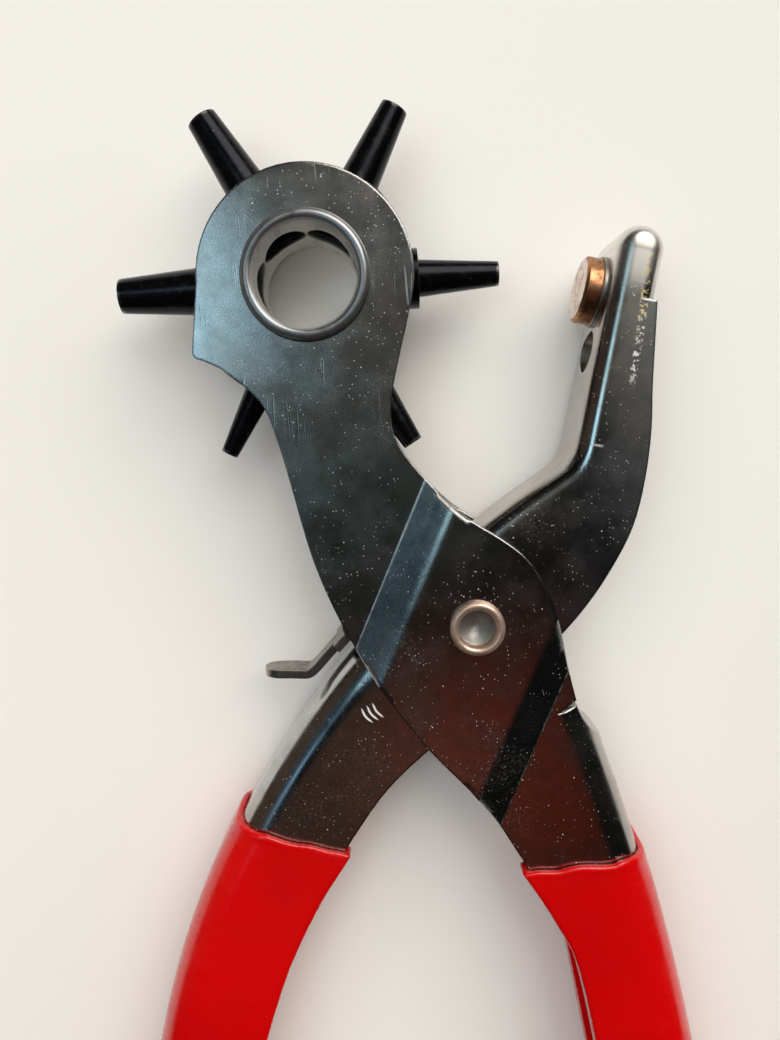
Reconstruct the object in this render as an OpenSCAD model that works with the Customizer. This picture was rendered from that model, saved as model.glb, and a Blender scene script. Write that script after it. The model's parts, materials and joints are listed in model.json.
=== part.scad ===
// Rotary hole punch: two pressed steel levers on one pivot rivet, a six-tube turret, a soft metal anvil,
// a turret lock lever, a return spring and two dipped grips.
// The tool lies flat. The origin is on the pivot axis at the resting face, +Y points at the jaws.
// The levers are shown fully open. The anvil lever is drawn closed and then swung open about the pivot.

/* [Levers] */
// Thickness of the pressed steel sheet
sheet_t = 1.8; // [1.5:0.1:2]
// Width of each lever channel across its outer faces
channel_w = 14.8; // [14:0.1:18]
// How far the cheeks step outward around the pivot
cheek_rise = 2; // [1.9:0.1:2.6]
// Angle that the anvil lever swings from open to punching
open_angle = 13.5; // [10:0.5:14]
// Reach of the handles below the pivot
handle_reach = 146; // [125:1:175]
// Width of the handles at their lower half
handle_w = 14.3; // [13:0.1:17.5]
// Outside corner radius of the handle channels
handle_corner = 5; // [3.5:0.1:5.5]
// Outside corner radius of the jaw channel
jaw_corner = 2.6; // [2.2:0.1:3]

/* [Turret] */
// Turret centre, to the side of the pivot
turret_x = -21.7; // [-26:0.1:-18]
// Turret centre, above the pivot
turret_y = 52; // [50:0.1:62]
// Radius of the turret drum
drum_r = 15.2; // [14.8:0.1:15.8]
// Radius from the turret centre to the cutting edges
tube_reach = 28.4; // [24:0.1:31]
// Bore diameter of the punch tube that faces the anvil
working_bore = 3; // [2.5:0.1:3.5]
// Step in bore diameter from one tube to the next
bore_step = 0.5; // [0.3:0.05:0.5]
// Radius of the open hole through the turret axle
axle_bore_r = 7.4; // [6:0.1:7.6]
// Wall of the turret axle
axle_wall = 0.85; // [0.6:0.05:1]

/* [Pivot and anvil] */
// Radius of the pivot rivet shank
rivet_r = 3.5; // [3:0.1:4]
// Height of the rivet heads above the cheeks
rivet_head_h = 1.2; // [0.8:0.1:1.8]
// Radius of the anvil pad
pad_r = 4.9; // [4:0.1:5.5]
// Thickness of the anvil pad
pad_t = 2.5; // [1.8:0.1:3.5]
// Thickness of the washer under the anvil pad
pad_washer_t = 0.6; // [0.4:0.1:1]

/* [Lock lever] */
// Thickness of the lock lever strip
lock_t = 1.3; // [1:0.1:1.5]
// Width of the thumb tab
tab_w = 5.4; // [4.4:0.1:9]
// Radius of the lock pin
lock_pin_r = 0.8; // [0.6:0.05:1]

/* [Grips] */
// Coating thickness of the dipped grips outside the steel
grip_t = 1; // [0.8:0.1:1.6]
// Distance from the pivot down to the top of the grips
grip_top = 38.5; // [34:0.5:50]

/* [Hidden] */
$fn = 96;

turret = [turret_x, turret_y];
half_w = channel_w / 2;
inner_half = half_w - sheet_t;
raised_half = half_w + cheek_rise;
mid_z = raised_half + rivet_head_h;
cut_h = 60;
slip = 0.05;
seam = 0.5;
lap = 0.02;

// Grips: coating inside the channel, solid cap past the steel
grip_in = 0.9;
grip_cap = 3;
steel_end = handle_reach - grip_cap;
grip_from = 158;
grip_tilt = 2.3;

// Head and axle
head_r = drum_r + 0.3;
axle_r = axle_bore_r + axle_wall;
flange_r = 0.95;

// Crease lines of the raised cheeks: direction, distance from the pivot, width of the ramps
crease_dir = 64.5;
crease_up = 15.2;
crease_down = 15.7;
ramp_w = 5.2;
ramp_in_w = 2.7;

// Turret parts
washer_t = 0.3;
drum_half = inner_half - washer_t - 2 * slip;
spigot_r = 3.6;
collar_r = 4.4;
collar_seat = 0.6;
collar_in = drum_r - collar_seat;
collar_out = collar_in + 1.7;
spigot_in = 9;
edge_wall = 0.3;
tube_taper = 0.95;
window_r = 3.7;
notch_r = 1.5;
notch_out = 0.6;

// Web of the punch handle: one long arc
punch_arc_c = [-336, -132];
punch_arc_r = 372.4;
web_top = -13;
front_tip = [18.8, -19.3];

// Web of the anvil lever, with the lever closed: jaw line, elbow fillet, one long arc, straight handle
strike_gap = 0.1;
anvil_face_x = turret_x + tube_reach + strike_gap;
jaw_x = anvil_face_x + pad_t + pad_washer_t;
tip_r = 3.45;
tip_y = turret_y + 5.8;
skirt_y = turret_y - 1.1;
elbow_r = 6;
anvil_arc_c = [108.5, -79.7];
anvil_arc_r = 144.8;
handle_x = anvil_arc_c[0] - anvil_arc_r;
elbow_x = jaw_x - elbow_r;
elbow_y = anvil_arc_c[1] + sqrt(pow(anvil_arc_r + elbow_r, 2) - pow(elbow_x - anvil_arc_c[0], 2));
elbow_end = atan2(elbow_y - anvil_arc_c[1], elbow_x - anvil_arc_c[0]);
corner_change = 142;
// Angles on the arcs where the webs start and where the steel and the grips end
punch_start = asin((web_top - punch_arc_c[1]) / punch_arc_r);
punch_end = -asin((steel_end + punch_arc_c[1]) / punch_arc_r);
spare_hole_r = 3.2;
spare_hole_drop = 8.9;
pad_stem_r = 1.8;

// Lock lever
lock_pivot = [-18.3, 0.2];
ear_t = 0.9;
ear_w = 2.4;
ear_out = inner_half - slip;
ear_orbit = drum_r + 1.6;
knuckle_r = lock_pin_r + 0.9;
pin_skin = 0.6;
tooth_gap = 0.15;
tab_bend = [-25.9, -7.5];
tab_tip = [-33, -7.1];
tab_knee = tab_bend + [1.3, 0.9];
tab_join = lock_pivot + [-1, -1.4];

// Return spring
wire_r = 0.8;
coil_r = rivet_r + 0.5 + wire_r;
coil_half = 2.9;
coil_turns = 3;

function arc_points(c, r, from, to, steps) =
  [for (i = [0 : steps]) c + r * [cos(from + (to - from) * i / steps), sin(from + (to - from) * i / steps)]];

function curve_at(a, b, c, d, t) =
  ((2 * b) + (c - a) * t + (2 * a - 5 * b + 4 * c - d) * t * t + (3 * b - a - 3 * c + d) * t * t * t) / 2;

function smooth_line(p, steps = 4) = concat(
  [for (i = [0 : len(p) - 2], k = [0 : steps - 1])
    curve_at(p[max(i - 1, 0)], p[i], p[i + 1], p[min(i + 2, len(p) - 1)], k / steps)],
  [p[len(p) - 1]]);

function reversed(p) = [for (i = [len(p) - 1 : -1 : 0]) p[i]];
function unit(v) = v / norm(v);
function left_of(v) = [-v[1], v[0]];
function heading(p, i) = unit(p[min(i + 1, len(p) - 1)] - p[max(i - 1, 0)]);
function shifted(p, d) = [for (i = [0 : len(p) - 1]) p[i] + d * left_of(heading(p, i))];
function ribbon(p, w) = concat(shifted(p, w / 2), reversed(shifted(p, -w / 2)));

// Outer face of each handle web at a height y
function punch_web_x(y) = punch_arc_c[0] + sqrt(pow(punch_arc_r, 2) - pow(y - punch_arc_c[1], 2));
function anvil_web_x(y) = anvil_arc_c[0] - sqrt(pow(anvil_arc_r, 2) - pow(y - anvil_arc_c[1], 2));

// Free edges along the lower handles, a share of the way down to the steel's end
function on_arc(c, r, a) = c + r * [cos(a), sin(a)];
function punch_free(share) = on_arc(punch_arc_c, punch_arc_r - handle_w, 9 + (punch_end - 9) * share);
function anvil_free(share) = [handle_x + handle_w, -85 - (steel_end - 85) * share];

// Free edges of the two levers, from the pivot zone to the ends of the handles
punch_edge = smooth_line([
  turret + [-13.3, -12.1], turret + [-10, -14.9], turret + [-7.2, -18.3], turret + [-5.5, -23.9],
  turret + [-4.4, -28.8], [-23.5, 11.2], [-19.9, 1.2], [-15.5, -7.2], [-8.4, -17.8], [-0.6, -27.2],
  [6, -38.6], [10.9, -47.5], [14.4, -56], punch_free(0), punch_free(0.3), punch_free(0.65), punch_free(1)
]);
punch_front = smooth_line([
  front_tip, [17.2, -17.9], [15.1, -14.3], [13.4, -6.7], [12.3, -1.1], [10.6, 4.8], [7.9, 9.6],
  [4.2, 12.9], [-1.5, 17], [-7, 23.1], turret + [11.4, -23.5], turret + [11.1, -18.7],
  turret + [12.2, -13.7], turret + [14.4, -6]
]);
anvil_edge = smooth_line([
  [jaw_x + 2 * tip_r, skirt_y], [18.6, 39.3], [19.8, 32.8], [20.4, 25.7], [20.1, 18.5], [18.2, 11.6],
  [15.5, 5.2], [11.5, -1.5], [4, -11.5], [-3.6, -20.7], [-8.4, -27.6], [-11.6, -34.5], [-13.9, -40.5],
  [-17, -49], [-20, -62.4], anvil_free(0), anvil_free(0.3), anvil_free(0.65), anvil_free(1)
]);

// Section of a channel web with its two rounded corners. The web's outer face is at x = 0.
module rounded_bar(h, r, l) {
  translate([-l, -h]) square([l - r, 2 * h]);
  translate([-r, r - h]) square([r, 2 * (h - r)]);
  for (side = [-1, 1])
    intersection() {
      translate([-r, side * (h - r)]) circle(r);
      translate([-r, -h]) square([r, 2 * h]);
    }
}

module web_section(h, t, r, tail) {
  difference() {
    rounded_bar(h, r, r + tail);
    translate([-t, 0]) rounded_bar(h - t, max(r - t, 0.4), r + tail);
  }
}

// A web that follows an arc, with its flanges turned inward or outward
module arc_web(c, r, from, to, h, t, corner, inward = true) {
  translate([c[0], c[1], 0])
    rotate([0, 0, from])
      rotate_extrude(angle = to - from, $fn = 720)
        translate([r, 0])
          mirror([inward ? 0 : 1, 0])
            web_section(h, t, corner, 2 * seam, $fn = 48);
}

module slab(low, high) {
  translate([0, 0, low]) linear_extrude(high - low) children();
}

module both_plates(h, t) {
  slab(h - t, h) children();
  slab(-h, t - h) children();
}

module at_mid() {
  translate([0, 0, mid_z]) children();
}

module swung_open() {
  rotate([0, 0, -open_angle]) children();
}

module post(p, r, h) {
  translate([p[0], p[1], 0]) cylinder(r = r, h = h, center = true);
}

// ---- Punch lever ----

module punch_plan() {
  translate(turret) circle(head_r, $fn = 180);
  polygon(concat(
    [turret + [-head_r, 0], turret + [-16.9, -9.6]],
    arc_points(turret + [-15.8, -9.8], 1.1, 180, 270, 4),
    punch_edge,
    arc_points(punch_arc_c, punch_arc_r - handle_corner - seam, punch_end, punch_start, 20),
    [for (p = punch_front) if (p[1] > web_top) p],
    [turret]));
}

// The front edge sweeps down across the rounded corner of the web
module front_scoop() {
  polygon(concat(
    [front_tip + [cut_h, -1], front_tip + [0.4, -0.4]],
    [for (p = punch_front) if (p[1] < 0) p],
    [[cut_h, 0]]));
}

// One raised cheek. Its outer ramps are longer than its inner ones, so the pressing thins the sheet there.
module joggled_sheet() {
  up = -crease_up;
  down = crease_down;
  raised_in = raised_half - sheet_t;
  rotate([0, 0, crease_dir - 90])
    rotate([90, 0, 0])
      linear_extrude(4 * handle_reach, center = true)
        polygon([
          [-200, half_w], [up, half_w], [up + ramp_w, raised_half], [down - ramp_w, raised_half],
          [down, half_w], [300, half_w], [300, inner_half], [down, inner_half],
          [down - ramp_in_w, raised_in], [up + ramp_in_w, raised_in], [up, inner_half], [-200, inner_half]
        ]);
}

module punch_web(t, h, out) {
  arc_web(punch_arc_c, punch_arc_r + out, punch_end, punch_start, h, t, handle_corner + out);
}

module punch_lever() {
  color("slategray")
    at_mid()
      difference() {
        union() {
          intersection() {
            union() {
              joggled_sheet();
              mirror([0, 0, 1]) joggled_sheet();
            }
            slab(-cut_h, cut_h) punch_plan();
          }
          difference() {
            punch_web(sheet_t, half_w, 0);
            slab(-cut_h, cut_h) front_scoop();
          }
        }
        post([0, 0], rivet_r, cut_h);
        post(turret, axle_r, cut_h);
        post(lock_pivot, lock_pin_r, channel_w - 2 * pin_skin);
      }
}

// ---- Anvil lever, drawn closed ----

module straight_web(x, low, high, h, t, corner, tail, left = true) {
  translate([x, high, 0])
    rotate([90, 0, 0])
      linear_extrude(high - low)
        mirror([left ? 1 : 0, 0])
          web_section(h, t, corner, tail, $fn = 48);
}

// The handle web of the anvil lever. Neighbouring runs overlap by a hair, so they join cleanly.
module anvil_web(t, h, out, from = corner_change) {
  corner = handle_corner + out;
  arc_web(anvil_arc_c, anvil_arc_r + out, from, 180, h, t, corner);
  straight_web(handle_x - out - lap, -steel_end, anvil_arc_c[1] + seam, h + lap, t + 2 * lap, corner, 2 * seam);
}

function round_profile(r, h, corner) = concat(
  [[0, -h]],
  arc_points([r - corner, corner - h], corner, -90, 0, 8),
  arc_points([r - corner, h - corner], corner, 0, 90, 8),
  [[0, h]]);

module jaw_tip() {
  intersection() {
    translate([jaw_x + tip_r, tip_y, 0])
      difference() {
        rotate_extrude() polygon(round_profile(tip_r + lap, half_w + lap, jaw_corner));
        rotate_extrude() polygon(round_profile(tip_r - sheet_t - lap, inner_half - lap, jaw_corner - sheet_t));
      }
    translate([jaw_x - cut_h / 2, tip_y - seam / 4, -cut_h / 2]) cube(cut_h);
  }
}

module anvil_plan() {
  jaw_in = jaw_corner + seam;
  handle_in = handle_corner + seam;
  polygon(concat(
    [[jaw_x + 2 * tip_r - jaw_in, skirt_y]],
    anvil_edge,
    [[handle_x + handle_in, -steel_end]],
    reversed(arc_points(anvil_arc_c, anvil_arc_r - handle_in, corner_change, 180, 20)),
    reversed(arc_points(anvil_arc_c, anvil_arc_r - jaw_in, elbow_end, corner_change, 6)),
    arc_points([elbow_x, elbow_y], elbow_r + jaw_in, elbow_end - 180, 0, 8),
    [[jaw_x + jaw_in, tip_y], [jaw_x + 2 * tip_r - jaw_in, tip_y]]));
}

module anvil_lever() {
  color("dimgray")
    at_mid()
      swung_open()
        difference() {
          union() {
            both_plates(half_w, sheet_t) anvil_plan();
            anvil_web(sheet_t, half_w, 0);
            arc_web(anvil_arc_c, anvil_arc_r, elbow_end, corner_change + 0.2, half_w, sheet_t, jaw_corner);
            arc_web([elbow_x, elbow_y], elbow_r - lap, elbow_end - 182, 2, half_w + lap, sheet_t + 2 * lap,
              jaw_corner, false);
            straight_web(jaw_x, elbow_y, tip_y, half_w, sheet_t, jaw_corner, 2 * seam);
            straight_web(jaw_x + 2 * tip_r, skirt_y, tip_y, half_w, sheet_t, jaw_corner, tip_r - jaw_corner, false);
            jaw_tip();
          }
          post([0, 0], rivet_r + slip, cut_h);
          translate([jaw_x - 1, turret_y, 0])
            rotate([0, 90, 0])
              cylinder(r = pad_stem_r, h = sheet_t + 2);
          translate([jaw_x - 1, turret_y - spare_hole_drop, 0])
            rotate([0, 90, 0])
              cylinder(r = spare_hole_r, h = sheet_t + 2);
        }
}

// ---- Pivot ----

module pivot_rivet() {
  recess_r = rivet_r - 0.75;
  lip_r = 0.65;
  color("rosybrown")
    at_mid() {
      difference() {
        translate([0, 0, -raised_half]) cylinder(r = rivet_r, h = 2 * raised_half + lip_r / 2);
        translate([0, 0, raised_half - 0.5]) cylinder(r = recess_r, h = cut_h);
        translate([0, 0, raised_half - 2]) cylinder(r1 = 0, r2 = recess_r, h = 1.5);
      }
      rotate_extrude()
        intersection() {
          translate([rivet_r - 0.1, raised_half + rivet_head_h - lip_r]) circle(lip_r, $fn = 48);
          translate([0, raised_half]) square([2 * rivet_r, 2 * rivet_head_h]);
        }
      rotate_extrude()
        polygon([
          [0, -mid_z], [rivet_r + 0.2, -mid_z], [rivet_r + 1.1, -mid_z + 0.6],
          [rivet_r + 1.1, -raised_half], [0, -raised_half]
        ]);
    }
}

function tangent_angle(p, r, side) = atan2(p[1], p[0]) + side * acos(r / norm(p));
function lifted(p, z) = [p[0], p[1], z];

module wire(path, r) {
  sides = 8;
  last = len(path) - 1;
  rings = [for (i = [0 : last])
    let (t = unit(path[min(i + 1, last)] - path[max(i - 1, 0)]))
    let (n = unit(cross(t, [0, 0, 1])))
    let (b = cross(n, t))
    for (k = [0 : sides - 1]) path[i] + r * (n * cos(360 * k / sides) + b * sin(360 * k / sides))];
  walls = [for (i = [0 : last - 1], k = [0 : sides - 1])
    [i * sides + k, i * sides + (k + 1) % sides, (i + 1) * sides + (k + 1) % sides, (i + 1) * sides + k]];
  ends = [[for (k = [sides - 1 : -1 : 0]) k], [for (k = [0 : sides - 1]) last * sides + k]];
  polyhedron(points = rings, faces = concat(walls, ends));
}

module return_spring() {
  foot_y = -33;
  punch_foot = [punch_web_x(foot_y) - sheet_t - wire_r - 0.25, foot_y];
  shut_foot = [anvil_web_x(foot_y) + sheet_t + wire_r + 0.45, foot_y];
  anvil_foot = [
    shut_foot[0] * cos(open_angle) + shut_foot[1] * sin(open_angle),
    shut_foot[1] * cos(open_angle) - shut_foot[0] * sin(open_angle)
  ];
  from = tangent_angle(punch_foot, coil_r, 1);
  to = tangent_angle(anvil_foot, coil_r, -1) + 360 * coil_turns + 360;
  steps = 20 * coil_turns;
  coil = [for (i = [0 : steps])
    let (a = from + (to - from) * i / steps)
    [coil_r * cos(a), coil_r * sin(a), coil_half * (2 * i / steps - 1)]];
  color("silver")
    at_mid()
      wire(concat([lifted(punch_foot, -coil_half)], coil, [lifted(anvil_foot, coil_half)]), wire_r);
}

// ---- Turret ----

module along_tube(i) {
  translate([turret[0], turret[1], 0])
    rotate([0, 0, 60 * i])
      rotate([0, 90, 0])
        children();
}

module turret_drum() {
  color("darkslategray")
    at_mid()
      difference() {
        translate([turret[0], turret[1], -drum_half])
          cylinder(r = drum_r, h = 2 * drum_half);
        post(turret, axle_r + slip, cut_h);
        for (i = [0 : 5]) {
          along_tube(i) cylinder(r = spigot_r + 0.01, h = 2 * drum_r);
          along_tube(i) translate([0, 0, collar_in]) cylinder(r = collar_r + 0.1, h = drum_r);
          post(turret + (drum_r + notch_out) * [cos(60 * i + 30), sin(60 * i + 30)], notch_r, cut_h);
        }
      }
}

module turret_axle() {
  color("gainsboro")
    at_mid()
      translate([turret[0], turret[1], 0]) {
        difference() {
          cylinder(r = axle_r, h = 2 * half_w, center = true);
          cylinder(r = axle_bore_r, h = cut_h, center = true);
          for (i = [0 : 5])
            rotate([0, 0, 60 * i])
              rotate([0, 90, 0])
                cylinder(r = window_r, h = 2 * axle_r);
        }
        for (side = [0, 1])
          mirror([0, 0, side])
            rotate_extrude()
              intersection() {
                translate([axle_bore_r + flange_r - 0.05, half_w + 0.35]) circle(flange_r, $fn = 48);
                translate([axle_bore_r, half_w]) square([2 * axle_bore_r, 4 * flange_r]);
              }
      }
}

module turret_washer(side) {
  color("darkgray")
    at_mid()
      translate([turret[0], turret[1], side * (inner_half - washer_t / 2 - slip / 2)])
        difference() {
          cylinder(r = axle_r + 4, h = washer_t, center = true);
          cylinder(r = axle_r + slip, h = cut_h, center = true);
        }
}

module front_turret_washer() {
  turret_washer(1);
}

module rear_turret_washer() {
  turret_washer(-1);
}

// Tube 1 faces the anvil. Bores grow to tube 4, then start again at the smallest on tube 5.
function bore_d(i) = working_bore + bore_step * (i < 4 ? i : i - 6);

module punch_tube(i) {
  bore_r = bore_d(i) / 2;
  tip_radius = bore_r + edge_wall;
  color("black")
    at_mid()
      along_tube(i)
        difference() {
          union() {
            translate([0, 0, spigot_in]) cylinder(r = spigot_r, h = collar_in - spigot_in);
            translate([0, 0, collar_in]) cylinder(r = collar_r, h = collar_out - collar_in);
            translate([0, 0, collar_out])
              cylinder(r1 = tip_radius + tube_taper, r2 = tip_radius, h = tube_reach - collar_out);
          }
          translate([0, 0, spigot_in - 1]) cylinder(r = bore_r + 0.4, h = collar_out - spigot_in + 1);
          translate([0, 0, spigot_in]) cylinder(r = bore_r, h = tube_reach);
        }
}

// ---- Anvil ----

module on_jaw(x) {
  at_mid()
    swung_open()
      translate([x, turret_y, 0])
        rotate([0, 90, 0])
          children();
}

module anvil_pad() {
  bevel = 0.4;
  color("peru")
    on_jaw(anvil_face_x) {
      cylinder(r1 = pad_r - bevel, r2 = pad_r, h = bevel);
      translate([0, 0, bevel]) cylinder(r = pad_r, h = pad_t - bevel);
      translate([0, 0, bevel]) cylinder(r = pad_stem_r, h = pad_t + pad_washer_t + sheet_t - bevel);
      translate([0, 0, pad_t + pad_washer_t + sheet_t]) cylinder(r1 = pad_stem_r + 0.8, r2 = pad_stem_r, h = 0.8);
    }
}

module anvil_washer() {
  color("silver")
    on_jaw(anvil_face_x + pad_t)
      difference() {
        cylinder(r = pad_r + 0.3, h = pad_washer_t);
        cylinder(r = pad_stem_r, h = 3 * pad_washer_t, center = true);
      }
}

// ---- Lock lever ----

function on_orbit(a, r = ear_orbit) = turret + r * [cos(a), sin(a)];

// Each ear runs from the knuckle up inside the neck and round the drum to the detent
ear_path = smooth_line([
  lock_pivot, lock_pivot + [-0.3, 5], [-21.8, 11.8], turret + [-2.9, -28.6], turret + [-3.6, -22.5],
  on_orbit(250), on_orbit(240), on_orbit(230), on_orbit(220), on_orbit(210), on_orbit(206)
]);
tab_path = concat(
  [tab_tip],
  smooth_line([tab_bend + [-2, 0.1], tab_bend, tab_knee]),
  [tab_join]);
root_path = [tab_join + 0.35 * (tab_knee - tab_join), tab_join];

module ear_plan() {
  difference() {
    union() {
      polygon(ribbon(ear_path, ear_w));
      translate(lock_pivot) circle(knuckle_r, $fn = 48);
      polygon([
        on_orbit(207.5), on_orbit(208.6, drum_r + tooth_gap), on_orbit(211.4, drum_r + tooth_gap), on_orbit(212.5)
      ]);
    }
    translate(lock_pivot) circle(lock_pin_r + slip, $fn = 48);
  }
}

module lock_lever() {
  tip_round = tab_w / 2;
  color("dimgray")
    at_mid() {
      both_plates(ear_out, ear_t) ear_plan();
      slab(-ear_out, ear_out)
        difference() {
          polygon(ribbon(root_path, lock_t));
          translate(lock_pivot) circle(lock_pin_r + slip, $fn = 48);
        }
      intersection() {
        slab(-tab_w / 2, tab_w / 2) polygon(ribbon(tab_path, lock_t));
        union() {
          translate([tab_tip[0] + tip_round, tab_tip[1], 0])
            rotate([90, 0, 0])
              cylinder(r = tip_round, h = cut_h, center = true);
          translate([tab_tip[0] + tip_round, -cut_h, -cut_h]) cube(2 * cut_h);
        }
      }
    }
}

module lock_pin() {
  color("gray")
    at_mid()
      post(lock_pivot, lock_pin_r, channel_w - 2 * pin_skin);
}

// ---- Grips ----

// A dipped coating: it wraps the web, both flanges and their free edges, and is closed at the end
module below(p, tilt) {
  translate([p[0], p[1], 0])
    rotate([0, 0, tilt])
      translate([-handle_reach, -2 * handle_reach, -cut_h])
        cube([2 * handle_reach, 2 * handle_reach, 2 * cut_h]);
}

module grip_end(length) {
  rotate([90, 0, 0])
    linear_extrude(length)
      rounded_bar(half_w + grip_t, handle_corner + grip_t, handle_w + 2 * grip_t, $fn = 48);
}

module punch_grip() {
  coat_t = sheet_t + grip_t + grip_in;
  inside = handle_corner + seam;
  color("red")
    at_mid()
      difference() {
        union() {
          intersection() {
            below([18, -grip_top], grip_tilt);
            union() {
              punch_web(coat_t, half_w + grip_t, grip_t);
              both_plates(half_w + grip_t - lap, coat_t - 2 * lap)
                polygon(concat(
                  shifted(punch_edge, -grip_t),
                  arc_points(punch_arc_c, punch_arc_r - inside, punch_end, punch_start, 20)));
            }
          }
          translate([punch_arc_c[0], punch_arc_c[1], 0])
            rotate([0, 0, punch_end])
              translate([punch_arc_r + grip_t, 0, 0])
                grip_end(grip_cap);
        }
        both_plates(half_w, sheet_t) punch_plan();
        punch_web(sheet_t + 2 * lap, half_w + lap, 0);
      }
}

module anvil_grip() {
  coat_t = sheet_t + grip_t + grip_in;
  inside = handle_corner + seam;
  color("red")
    at_mid()
      swung_open()
        difference() {
          union() {
            intersection() {
              below([-25, 1 - grip_top], -2 * grip_tilt);
              union() {
                anvil_web(coat_t, half_w + grip_t, grip_t, grip_from);
                both_plates(half_w + grip_t - lap, coat_t - 2 * lap)
                  polygon(concat(
                    shifted(anvil_edge, grip_t),
                    [[handle_x + inside, -steel_end]],
                    reversed(arc_points(anvil_arc_c, anvil_arc_r - inside, grip_from + 1, 180, 20))));
              }
            }
            translate([handle_x - grip_t, -steel_end, 0])
              mirror([1, 0, 0])
                grip_end(grip_cap);
          }
          both_plates(half_w, sheet_t) anvil_plan();
          anvil_web(sheet_t + 2 * lap, half_w + lap, 0);
        }
}

punch_lever();
anvil_lever();
pivot_rivet();
return_spring();
turret_drum();
turret_axle();
front_turret_washer();
rear_turret_washer();
punch_tube(0);  // punch_tube_1
punch_tube(1);  // punch_tube_2
punch_tube(2);  // punch_tube_3
punch_tube(3);  // punch_tube_4
punch_tube(4);  // punch_tube_5
punch_tube(5);  // punch_tube_6
anvil_pad();
anvil_washer();
lock_lever();
lock_pin();
punch_grip();
anvil_grip();
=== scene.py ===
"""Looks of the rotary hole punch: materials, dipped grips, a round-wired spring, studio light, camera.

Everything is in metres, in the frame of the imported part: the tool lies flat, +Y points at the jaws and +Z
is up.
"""
import json
import math

import bpy
import numpy as np
from mathutils import Matrix, Vector, noise


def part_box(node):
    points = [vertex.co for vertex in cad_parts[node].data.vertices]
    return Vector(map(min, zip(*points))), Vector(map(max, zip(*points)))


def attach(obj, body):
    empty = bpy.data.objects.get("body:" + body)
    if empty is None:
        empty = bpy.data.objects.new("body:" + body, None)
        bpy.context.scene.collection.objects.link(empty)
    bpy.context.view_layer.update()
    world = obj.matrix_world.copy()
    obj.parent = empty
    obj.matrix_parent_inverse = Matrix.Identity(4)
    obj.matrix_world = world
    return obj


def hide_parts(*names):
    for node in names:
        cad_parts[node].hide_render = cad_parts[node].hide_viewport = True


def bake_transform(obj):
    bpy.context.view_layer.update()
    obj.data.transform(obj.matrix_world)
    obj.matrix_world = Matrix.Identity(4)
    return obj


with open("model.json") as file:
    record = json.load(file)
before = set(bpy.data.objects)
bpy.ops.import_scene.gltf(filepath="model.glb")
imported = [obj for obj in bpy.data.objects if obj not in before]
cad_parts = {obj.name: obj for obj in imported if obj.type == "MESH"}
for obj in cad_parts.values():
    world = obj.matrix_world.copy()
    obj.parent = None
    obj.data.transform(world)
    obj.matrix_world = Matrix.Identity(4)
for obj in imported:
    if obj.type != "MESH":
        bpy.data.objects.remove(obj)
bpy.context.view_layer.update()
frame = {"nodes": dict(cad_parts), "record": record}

MM = 0.001
NODES = frame["nodes"]
JOINTS = {joint["name"]: joint for joint in frame["record"]["behaviour"]["joints"]}
PIVOT = Vector(JOINTS["lever_pivot"]["pos_m"])
TURRET = Vector(JOINTS["turret_spin"]["pos_m"])
OPEN_ANGLE = math.radians(JOINTS["lever_pivot"]["range_deg"][1])

# The two outer creases of the punch lever's raised cheeks: the turn of their common normal, how far each
# lies from the pivot along it, and the width of the ramp inside each crease
CREASE_TURN = math.radians(-25.5)
CREASE_ACROSS = (math.cos(CREASE_TURN), math.sin(CREASE_TURN), 0.0)
CREASE_UP = -15.2 * MM
CREASE_DOWN = 15.7 * MM
RAMP = 5.2 * MM

# Marks on the jaw, a painted highlight and a painted reflection among them, each between two depths below
# the top of the anvil lever's box
DOME_FADE = (9 * MM, 4 * MM)
REFLECTION_FOOT = (24 * MM, 20 * MM)
REFLECTION_HEAD = (3 * MM, 6 * MM)
REFLECTION_GOLD_FADE = (16 * MM, 11 * MM)

# A point on the line of the painted reflection streak, in from the upper corner of that box, and the line's
# normal
REFLECTION_INSET = 3.3 * MM
REFLECTION_DROP = 9 * MM
REFLECTION_ACROSS = (0.985, -0.17, 0.0)

# Nicks on the handle: the first one's centre from the pivot, the step to the next in mm, the side that shows
NICKS = 3
NICK_CENTRE = Vector((-13.6, -11.1, 0)) * MM
NICK_STEP_MM = Vector((-0.85, -0.35, 0))
NICK_SIDE = (-0.83, -0.56, 0.0)
NICK_R = 2.4 * MM

# Turret axle: how much wider than its bore a flange is, in radius
FLANGE_WIDTH = 1.75 * MM

# Ring dents in the anvil pad: shift along its face and upwards, and radius, in mm
PAD_DENTS = (((0.3, 0.2), 1.5), ((-0.5, 0.4), 1.75), ((0.1, -0.6), 1.25), ((0.9, -0.2), 2.0))

# Meshes: seams closed in the CAD nodes and in the reworked copies, and the sharpest edge that is shaded
# smooth
SEAM_GAP = 0.002 * MM
WELD_GAP = 0.004 * MM
CRISP_ANGLE = math.radians(19.5)

# Dipped grips: how far the wavy lip reaches, its waves per metre, and the bead behind it
GRIP_VOXEL = 0.34 * MM
LIP_REACH = 8 * MM
LIP_WAVE = 0.55 * MM
WAVES_ACROSS = 260
WAVES_UP = 150
WAVE_SLICE = 3.1
BEAD_DEPTH = 0.9 * MM
BEAD_WIDTH = 0.55 * MM
BEAD_RISE = 0.10 * MM

# Studio: how far the floor reaches from the origin, and how far it lies under the tool
FLOOR_REACH = 3.0
FLOOR_DROP = 0.02 * MM

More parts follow.
